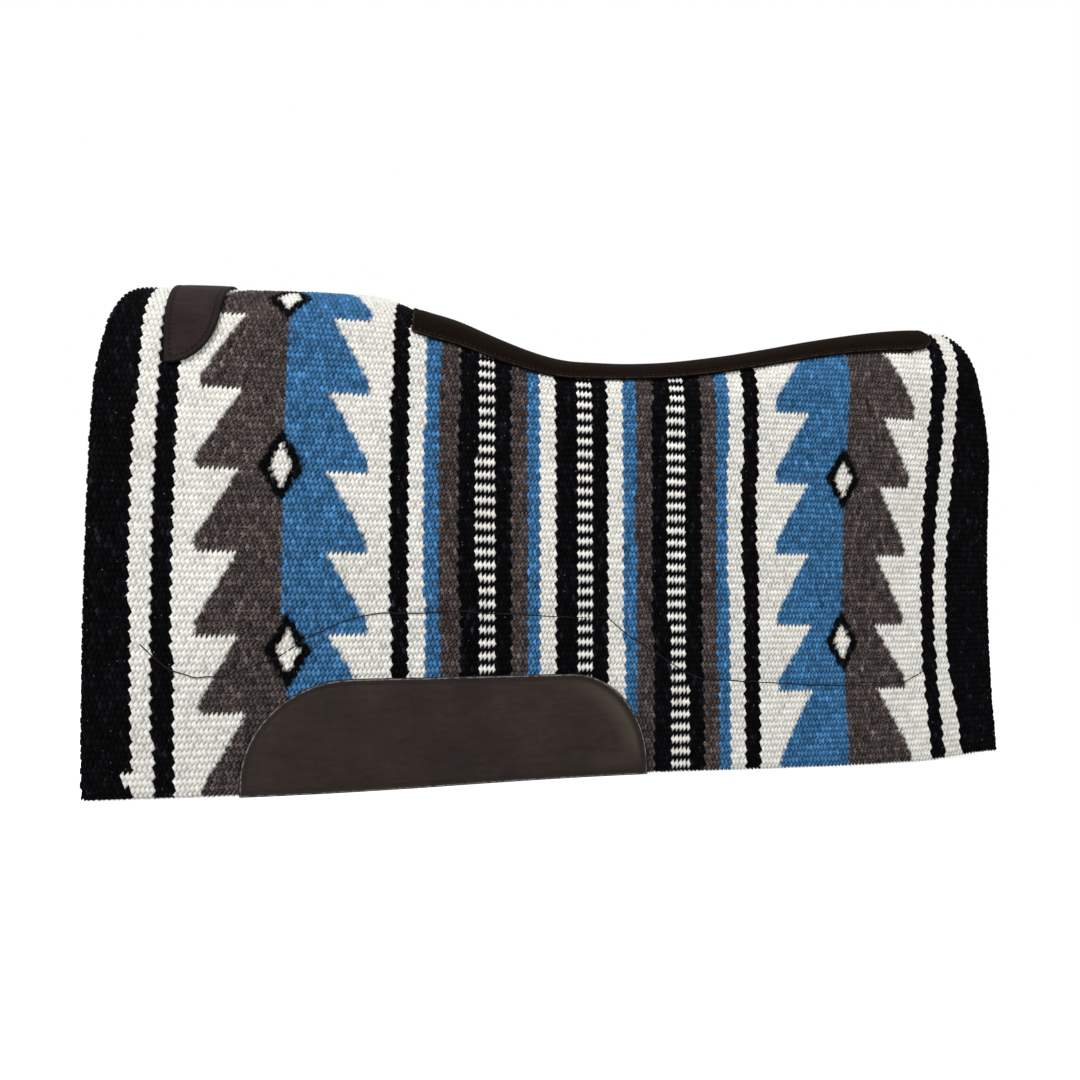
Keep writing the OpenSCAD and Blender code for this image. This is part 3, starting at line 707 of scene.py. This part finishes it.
def make_slab(name, outline, outer, inner, rounding, spacing, relief=None, rings=(), side=LEFT,
              inner_spacing=None, inner_relief=None, edge_step=4.0):
    """A closed sheet laid on the pad. outline is a polygon in (x, s), outer and inner are its depths, and
    rings the places of extra rows of points along the edge. relief gives the outer face's rise from a
    point's place and its distance to the edge, inner_relief the inner one's."""
    outline = spaced(outline, edge_step)
    ahead = np.roll(outline, -1, axis=0)
    if (outline[:, 0] * ahead[:, 1] - ahead[:, 0] * outline[:, 1]).sum() < 0:
        outline = outline[::-1]
    count = len(outline)
    rounding = min(rounding, (inner - outer) / 2)
    # Rows of points from the widest line of the edge over to the face: how far in, how far sunk
    rim = [(rounding * (1 - math.cos(q)), rounding * (1 - math.sin(q)))
           for q in np.radians([0, 30, 60, 90])]
    parts, depths, aways = [], [], []

    def add(xs, depth, away, rise, sign):
        parts.append(xs)
        depths.append(depth + sign * (rise(xs[:, 0], xs[:, 1], away) if rise else np.zeros(len(xs))))
        aways.append(away)

    def add_face(level, sign, spacing, rings, rim_rise, rise):
        """Adds the edge's rows and a face. Gives its first point's number and its triangles."""
        start = sum(len(part) for part in parts)
        for e, sunk in rim:
            add(inset(outline, e), level - sign * sunk, np.full(count, e), rim_rise, sign)
        edge = parts[-1]
        grid, away = loose_points(outline, edge, spacing)
        for r in rings:  # the rows are left out where a corner brings them too near the edge
            grid, away = grid[away > r + 1], away[away > r + 1]
        for r in rings:
            row = inset(outline, r)
            far = edge_distance(row, outline)
            row, far = row[far > r - 0.1], far[far > r - 0.1]
            grid, away = joined([grid, row]), joined([away, far])
        add(grid, level, away, rise, sign)
        return start, fill(edge, grid) + start + (len(rim) - 1) * count

    _, top = add_face(outer, -1, spacing, rings, relief, relief)
    start, low = add_face(inner, 1, inner_spacing or spacing, (), None, inner_relief)
    k = np.arange(count)
    n = (k + 1) % count
    steps = range(0, (len(rim) - 1) * count, count)
    quads = [columns(k, n, count + n, count + k) + step for step in steps]
    quads += [columns(n, k, count + k, count + n) + start + step for step in steps]
    quads.append(columns(n, k, start + k, start + n))
    groups = [top, low[:, ::-1], joined(quads)]
    xs, depth = joined(parts), joined(depths)
    obj = make_mesh(name, surface(xs[:, 0], xs[:, 1], depth, side),
                    flip(groups) if side == LEFT else groups)
    set_value(obj, "rim", joined(aways))
    low, size = xs.min(axis=0), xs.max(axis=0) - xs.min(axis=0)
    scale = 0.98 / max(size[0], 2 * size[1] + 10)
    uv = (xs - low) * scale + 0.01
    uv[start:, 1] += (size[1] + 10) * scale
    set_uv(obj, uv)
    return obj


def flap_outline(inset_by, first, hem_up):
    """The outline of one flap's layer in (x, s), drawn in from the blanket's outline."""
    ends = np.linspace(first, 470, 24)
    front = columns(front_edge(ends) + inset_by, ends)
    rear = columns(rear_edge(ends) - inset_by, ends)
    hem_x = np.linspace(-HALF + inset_by, HALF - inset_by, 60)
    hem = columns(hem_x, girth(hem_x) - hem_up)
    return joined([front[:-1], hem, rear[:-1][::-1]])


# ---- felt and fleece
CORE_SHORT = 5.0
FLEECE_RISE = 1.3  # how far the tufts of the fleece stand up
TAPE_HALF, TAPE_T = 24.0, 1.4
TAPE_FRONT, TAPE_REAR = -400.0, 364.0


def felt():
    look = Shader("felt")
    place = look.object_place()
    hairs = look.noise(place, (700, 700, 1500), 4.0, 0.7)
    clouds = look.mix(look.noise(place, 60, 3.0, 0.6), (0.7, 0.7, 0.7), (1, 1, 1))
    colour = look.mix(look.ramp(hairs, 0.3, 0.7), linear(96, 96, 94), linear(142, 141, 136))
    return look.finished(look.mix(0.5, colour, clouds, "MULTIPLY"), 0.95, 0.1, hairs, 0.6, 0.0008)


def fleece():
    look = Shader("fleece")
    place = look.object_place()
    tufts = look.add("TexVoronoi", feature="SMOOTH_F1", Scale=260.0, Vector=place).outputs["Distance"]
    hairs = look.noise(place, 1400, 3.0, 0.7)
    height = look.math("SUBTRACT", hairs, look.times(tufts, 1.6))
    look.set(Sheen_Weight=0.15)
    # Painted shade: the colour darkens towards the gaps between the tufts, where the bump sinks
    colour = look.mix(look.ramp(tufts, 0.2, 0.75), linear(238, 231, 214), linear(196, 185, 163))
    return look.finished(colour, 0.95, 0.1, height, 0.7, 0.0014)


def fleece_rise(x, s, away):
    tufts = np.abs(smooth_noise(x, s, 7.0, 11)) + 0.5 * np.abs(smooth_noise(x, s, 3.5, 12))
    clear = ease((np.abs(s) - TAPE_HALF - 2) / 8) * ease(away / 8)
    return FLEECE_RISE * (tufts - 0.35) * clear


def make_layers():
    felt_look, fleece_look = felt(), fleece()
    for word, side in SIDES:
        core = make_slab("felt_" + word, flap_outline(CORE_SHORT, 1.0, CORE_SHORT), CORE_DEPTH,
                         CORE_DEPTH + CORE_T, 2.0, 12.0, side=side, edge_step=5.0)
        dress(core, felt_look, "felt", "felt_core_" + word)
        lining = make_slab("fleece_" + word, flap_outline(1.0, 0.8, 0.3), LINING_DEPTH,
                           LINING_DEPTH + LINING_T, 2.6, 12.0, side=side, edge_step=3.5,
                           inner_spacing=3.6, inner_relief=fleece_rise)
        dress(lining, fleece_look, "fleece", "lining_" + word)


# ---- leather
LEATHER_GAP = 0.6
STRIP_T, PATCH_T, WEAR_T = 2.6, 2.2, 2.4
STRIP_REAR = 364.0
STRIP_REACH = (75.0, 58.0, 66.0)  # down each side at its front end, its narrowest stretch and its rear end
STRIP_NARROW = (43.0, 213.0)
PATCH_FRONT, PATCH_LEN, PATCH_HALF = -385.0, 48.0, 129.0
PATCH_LEAN = 6.0  # how far its front edge leans back at its lower corners
PATCH_ROUND = (40.0, 52.0)
WEAR_FRONT, WEAR_REAR, WEAR_TALL = -314.0, 47.0, 100.0
WEAR_FRONT_ROUND, WEAR_REAR_ROUND, WEAR_ROUND_T = 90.0, 74.0, 90.0
SEAM_IN = 5.0  # distance of the seams from the edge of the leather
STITCH_PITCH, STITCH_LEN, STITCH_R = 4.6, 3.3, 0.5
RINGS = (1.6, 3.0, 4.2, SEAM_IN, 5.9, 7.4, 11)  # rows of points along the edge, closest at the seam
SKIVED, SKIVED_LEN = 0.9, 12.0  # how much thinner the strip is at its front end


def strip_reach(x):
    (front, middle, rear), (start, end) = STRIP_REACH, STRIP_NARROW
    return np.where(x < end, front + (middle - front) * ease((x - STRIP_FRONT) / (start - STRIP_FRONT)),
                    middle + (rear - middle) * ease((x - end) / (STRIP_REAR - end)))


def strip_outline(by=0.0):
    """Half of it, from the front end to the rear one along the left side, drawn in by a distance."""
    corner = 20.0 - by
    turn = np.radians(np.linspace(0, 80, 6))
    end = STRIP_REAR - by
    x = np.linspace(STRIP_FRONT + by, end - corner, 60)
    side = columns(x, strip_reach(x) - by)
    x, s = end - corner + corner * np.sin(turn), side[-1, 1] - 0.8 * corner * (1 - np.cos(turn))
    return joined([side, columns(x, s)[1:]])


def patch_outline(by=0.0):
    rx, rt = PATCH_ROUND[0] - by, PATCH_ROUND[1] - by
    turn = np.radians(np.linspace(0, 90, 12))
    cx, ct = PATCH_FRONT + PATCH_LEN - PATCH_ROUND[0], PATCH_HALF - PATCH_ROUND[1]
    rounded = columns(cx + rx * np.sin(turn), ct + rt * np.cos(turn))
    front = np.array([[PATCH_FRONT + by, 2.0], [PATCH_FRONT + PATCH_LEAN + by, PATCH_HALF - by]])
    return joined([front, rounded])


def wear_outline(by=0.0, foot=0.4, closed=True):
    """From the hem at the front, over the top, to the hem at the rear."""
    turn = np.radians(np.linspace(0, 90, 16))
    rise = WEAR_TALL - WEAR_ROUND_T + (WEAR_ROUND_T - by) * np.sin(turn)
    front = columns(WEAR_FRONT + WEAR_FRONT_ROUND - (WEAR_FRONT_ROUND - by) * np.cos(turn), rise)
    rear = columns(WEAR_REAR - WEAR_REAR_ROUND + (WEAR_REAR_ROUND - by) * np.cos(turn), rise)[::-1]
    top = np.linspace(front[-1, 0], rear[0, 0], 16)[1:-1]
    top = columns(top, np.full(len(top), WEAR_TALL - by))
    line = joined([[[front[0, 0], foot]], front, top, rear, [[rear[-1, 0], foot]]])
    if closed:
        back = np.linspace(rear[-1, 0], front[0, 0], 40)[1:-1]
        line = joined([line, columns(back, np.full(len(back), foot))])
    return columns(line[:, 0], girth(line[:, 0]) - line[:, 1])


def leather_rise(puff):
    """The outer face of a leather: thinner at the rim, pulled in along the seam, padded inside."""
    def rise(x, s, away):
        seam = -0.3 * np.exp(-((away - SEAM_IN) / 0.9) ** 2)
        full = puff * (1 - np.exp(-np.maximum(0, away - SEAM_IN) / 14.0))
        dents = 0.25 * smooth_noise(x, s, 38, 21) * ease(away / 12)
        return seam + full + dents * (puff > 0)
    return rise


def leather(name, colour, edge_shadow_colour, rough, grain, shine, rim_shade=None, edge_highlight=None, seam_groove_shade=0.3,
            bulge_highlight=0.0, mottle=0.12):
    """rim_shade is the width and darkness of painted shade along the rim, where the rounded edge turns away
    from the light, edge_highlight the colour and strength of a painted highlight line along it,
    bulge_highlight the strength of a painted highlight on the bulge, edge_shadow_colour the painted shadow on
    the outermost edge and seam_groove_shade the darkness of the painted shade in the seam's groove."""
    look = Shader(name)
    place = look.object_place()
    rim = look.add("Attribute", attribute_name="rim").outputs["Fac"]
    pores = look.add("TexVoronoi", feature="DISTANCE_TO_EDGE", Scale=grain, Vector=place)
    fine = look.noise(place, 900, 4.0, 0.65)
    clouds = look.noise(place, 22, 4.0, 0.6)
    creases = look.noise(place, (55, 230, 230), 4.0, 0.7)
    tone = look.times(look.ramp(clouds, 0.35, 0.65, 1 - mottle, 1 + mottle),
                      look.ramp(fine, 0.35, 0.65, 0.88, 1.12),
                      look.ramp(creases, 0.35, 0.65, 1 - 0.7 * mottle, 1 + 0.7 * mottle))
    face = look.toned(linear(*colour), tone)

    def laid_over(share, over):
        return look.mix(share, face, over)

    # Painted shade: a dark line along the seam's groove
    seam = look.band(rim, SEAM_IN - 1.3, SEAM_IN - 0.2, SEAM_IN + 0.2, SEAM_IN + 1.3)
    face = laid_over(look.times(seam, seam_groove_shade), (0.004, 0.003, 0.003))
    if bulge_highlight:
        # Painted highlight: a lighter ring on the bulge inside the seam, only on the rear and upper part of
        # the leather
        axes = look.add("SeparateXYZ", Vector=place).outputs
        ring = look.times(look.band(rim, 5.0, 9.5, 9.5, 26.0), look.ramp(axes[0], -0.05, 0.015, 0, bulge_highlight),
                          look.ramp(axes[2], 0.008, 0.034))
        face = laid_over(ring, linear(84, 78, 66))
    if rim_shade:
        # Painted shade: a dark band along the rim, where the rounded edge turns away from the light
        width, darkness = rim_shade
        face = laid_over(look.times(look.ramp(rim, width - 1.5, width + 1.5, 1, 0), darkness),
                         (0.001, 0.001, 0.001))
    # Painted shadow: a darker colour laid over the outermost edge
    face = laid_over(look.ramp(rim, 0.35, 1.7, 1, 0), linear(*edge_shadow_colour))
    if edge_highlight:
        # Painted highlight: a pale, broken line just inside the edge, where the cut edge catches the light
        patches = look.ramp(look.noise(place, 260, 2.0, 0.5), 0.38, 0.6, 0.15, 1.0)
        face = laid_over(look.times(patches, edge_highlight[3], look.band(rim, 0.5, 1.0, 1.3, 2.0)),
                         linear(*edge_highlight[:3]))
    height = look.math("ADD", look.ramp(pores.outputs["Distance"], 0.0, 0.3), look.times(fine, 0.5))
    height = look.math("ADD", height, look.times(creases, 0.8))
    return look.finished(face, look.ramp(clouds, 0.3, 0.7, rough - 0.05, rough + 0.07), shine, height,
                         0.35, 0.0007)


def both_sides(half_line):
    """A closed outline from its left half, which runs from the front to the rear."""
    return joined([half_line, half_line[::-1] * MIRRORED])


def make_leather(name, outline, thick, rounding, spacing, relief, look, nodes, rings=RINGS, side=LEFT):
    piece = make_slab(name, outline, -LEATHER_GAP - thick, -LEATHER_GAP, rounding, spacing, relief=relief,
                      rings=rings, side=side)
    dress(piece, look, *nodes)


def make_leathers():
    padded = leather_rise(0.5)

    def strip_rise(x, s, away):
        return padded(x, s, away) - SKIVED * (1 - ease((x - STRIP_FRONT) / SKIVED_LEN))

    look = leather("spine_leather", (21, 13, 8), (20, 14, 11), 0.72, 900.0, 0.012, edge_highlight=(90, 83, 78, 0.45))
    make_leather("spine_leather", both_sides(strip_outline()), STRIP_T, 1.1, 7.0, strip_rise, look,
                 ("spine_leather", "spine_strip"))
    look = leather("patch_leather", (40, 31, 30), (20, 16, 15), 0.62, 800.0, 0.05, rim_shade=(4.0, 0.25),
                   seam_groove_shade=0.9, mottle=0.24)
    make_leather("wither_leather", both_sides(patch_outline()), PATCH_T, 1.0, 6.0, leather_rise(0.3), look,
                 ("patch_leather", "wither_patch"))
    look = leather("girth_leather", (41, 31, 27), (16, 12, 11), 0.5, 850.0, 0.12, rim_shade=(3.6, 0.38),
                   edge_highlight=(150, 143, 138, 0.75), seam_groove_shade=0.45, bulge_highlight=0.5, mottle=0.3)
    for word, side in SIDES:
        make_leather("girth_leather_" + word, wear_outline(), WEAR_T, 1.1, 7.0, leather_rise(1.3), look,
                     ("girth_leather", "wear_leather_" + word), (*RINGS, 16), side)


# ---- threads and tape
def distances(line):
    """How far along a line each of its points lies."""
    return joined([[0], np.cumsum(np.linalg.norm(np.diff(line, axis=0), axis=1))])


def make_tubes(name, tubes, side, sign=-1):
    """One object of closed tubes, each an array of rings of points in (x, s, depth)."""
    quads, caps, base = [], [], 0
    for rows, sides, _ in (tube.shape for tube in tubes):
        ring = base + np.arange(sides)
        after = base + (np.arange(sides) + 1) % sides
        quads += [columns(ring + up, after + up, after + up + sides, ring + up + sides)
                  for up in range(0, (rows - 1) * sides, sides)]
        caps += [ring[::-1], ring + (rows - 1) * sides]
        base += rows * sides
    flat = joined([tube.reshape(-1, 3) for tube in tubes])
    groups = [joined(quads), np.array(caps)]
    turned = (side == LEFT) == (sign == -1)
    return make_mesh(name, surface(*flat.T, side), flip(groups) if turned else groups)


# One stitch: the share of its length, its thickness there, and how far it rises, both in radii
STITCH = np.array([(0, 0.35, -0.9), (0.12, 0.8, -0.35), (0.35, 1, 0.15), (0.5, 1, 0.25), (0.65, 1, 0.15),
                   (0.88, 0.8, -0.35), (1, 0.35, -0.9)])
THREAD_TURN = np.arange(6) * 2 * math.pi / 6  # the corners of a thread's section


def at_distance(line, along, at):
    return np.array([np.interp(at, along, line[:, k]) for k in range(2)])


def rings_round(x, s, dx, ds, depth, radius, rise=0.0, sign=-1):
    """Rings of points round a thread that passes through (x, s) in the direction of (dx, ds)."""
    x, s, dx, ds, depth, radius, rise = (np.reshape(v, (-1, 1)) for v in (x, s, dx, ds, depth, radius, rise))
    norm = np.maximum(np.hypot(dx, ds), 1e-9)
    across, up = radius * np.cos(THREAD_TURN), radius * np.sin(THREAD_TURN) + rise
    return np.stack([x - ds / norm * across, s + dx / norm * across, depth + sign * up], axis=-1)


def make_stitches(name, lines, depth, material, node, side=LEFT, sign=-1):
    """Rows of stitches along lines in (x, s). sign is -1 for the outer face and 1 for the underside."""
    share, size, rise = STITCH.T
    tubes = []
    for line in lines:
        along = distances(line)
        for middle in np.arange(STITCH_PITCH / 2, along[-1], STITCH_PITCH):
            here = middle + (share - 0.5) * STITCH_LEN
            at, before, after = (at_distance(line, along, here + by) for by in (0, -0.2, 0.2))
            tubes.append(rings_round(*at, *(after - before), depth, STITCH_R * size, STITCH_R * rise, sign))
    return dress(make_tubes(name, tubes, side, sign), material, "sewing_thread", node)


def make_quilting(name, side):
    line = np.array([(x, t - float(dart(x))) for x, t in QUILT], float)
    along = distances(line)
    at = np.arange(0, along[-1], 2.0)
    x, s = at_distance(line, along, at)
    s = s + 0.5 * smooth_noise(at, at * 0, 9, 31)
    depth = 1.35 + 1.1 * smooth_noise(at, at * 0 + 50, 9, 32)
    return make_tubes(name, [rings_round(x, s, np.gradient(x), np.gradient(s), depth, QUILT_R)], side)


def thread(name, colour, rough):
    look = Shader(name)
    twist = look.noise(look.object_place(), 1600, 2.0, 0.6)
    colour = look.mix(look.ramp(twist, 0.3, 0.7), linear(*colour), linear(*(c * 1.6 for c in colour)))
    return look.finished(colour, rough, 0.3, twist, 0.5, 0.0003)


def webbing():
    look = Shader("webbing")
    place = look.add("UVMap", uv_map="OFBake").outputs[0]
    ribs = look.add("TexWave", bands_direction="X", Scale=220.0, Distortion=0.6, Vector=place)
    hairs = look.noise(place, (900, 300, 1), 3.0, 0.6)
    shade = look.math("ADD", look.times(ribs.outputs["Fac"], 0.6), hairs)
    colour = look.mix(look.ramp(shade, 0.3, 1.1), linear(30, 29, 28), linear(66, 63, 60))
    return look.finished(colour, 0.85, 0.2, shade, 0.6, 0.0004)


def make_threads():
    dark = thread("sewing_thread", (7, 6, 5), 0.7)
    yarn = thread("quilting_thread", (6, 6, 8), 0.9)
    groove = -LEATHER_GAP + 0.5
    under = 0.1  # how far the seams stand out of the underside
    strip_seam = strip_outline(SEAM_IN)
    patch_seam = patch_outline(SEAM_IN)
    rear_seam = np.array([patch_seam[-1], [patch_seam[-1, 0], 4.0]])
    wear_seam = wear_outline(SEAM_IN, 4.0, closed=False)
    tape_seam = np.array([[TAPE_FRONT + 4, TAPE_HALF - 4], [TAPE_REAR - 4, TAPE_HALF - 4]])
    make_stitches("patch_stitches", [patch_seam, patch_seam * MIRRORED, rear_seam, rear_seam * MIRRORED],
                  groove - PATCH_T + 0.05, dark, "wither_patch_stitches")
    for word, side in SIDES:
        for name, seam, depth, node, sign in (
                ("strip_stitches_", strip_seam, groove - STRIP_T, "spine_strip_stitches_", -1),
                ("girth_stitches_", wear_seam, groove - WEAR_T - 0.05, "wear_leather_stitches_", -1),
                ("tape_stitches_", tape_seam, TAPE_DEPTH + TAPE_T + under, "tape_stitches_", 1),
                ("under_stitches_", strip_seam, LINING_DEPTH + LINING_T + under, "underside_stitches_", 1)):
            make_stitches(name + word, [seam], depth, dark, node + word, side, sign)
        dress(make_quilting("quilting_" + word, side), yarn, "quilting_thread", "quilting_thread_" + word)
    half_tape = np.array([[TAPE_FRONT, TAPE_HALF], [TAPE_REAR, TAPE_HALF]])
    tape = make_slab("spine_tape", both_sides(half_tape), TAPE_DEPTH, TAPE_DEPTH + TAPE_T, 0.6, 6.0)
    dress(tape, webbing(), "webbing", "seam_tape")


def make_blankets():
    material = wool()
    for word, side in SIDES:
        obj = make_blanket("blanket_" + word, side)
        dress(obj, material, "woven_wool", "woven_blanket")


make_camera()
make_stage()
for light in LIGHTS:
    area_light(*light)
make_layers()
make_blankets()
make_leathers()
make_threads()

bpy.context.scene.view_settings.view_transform = "Standard"
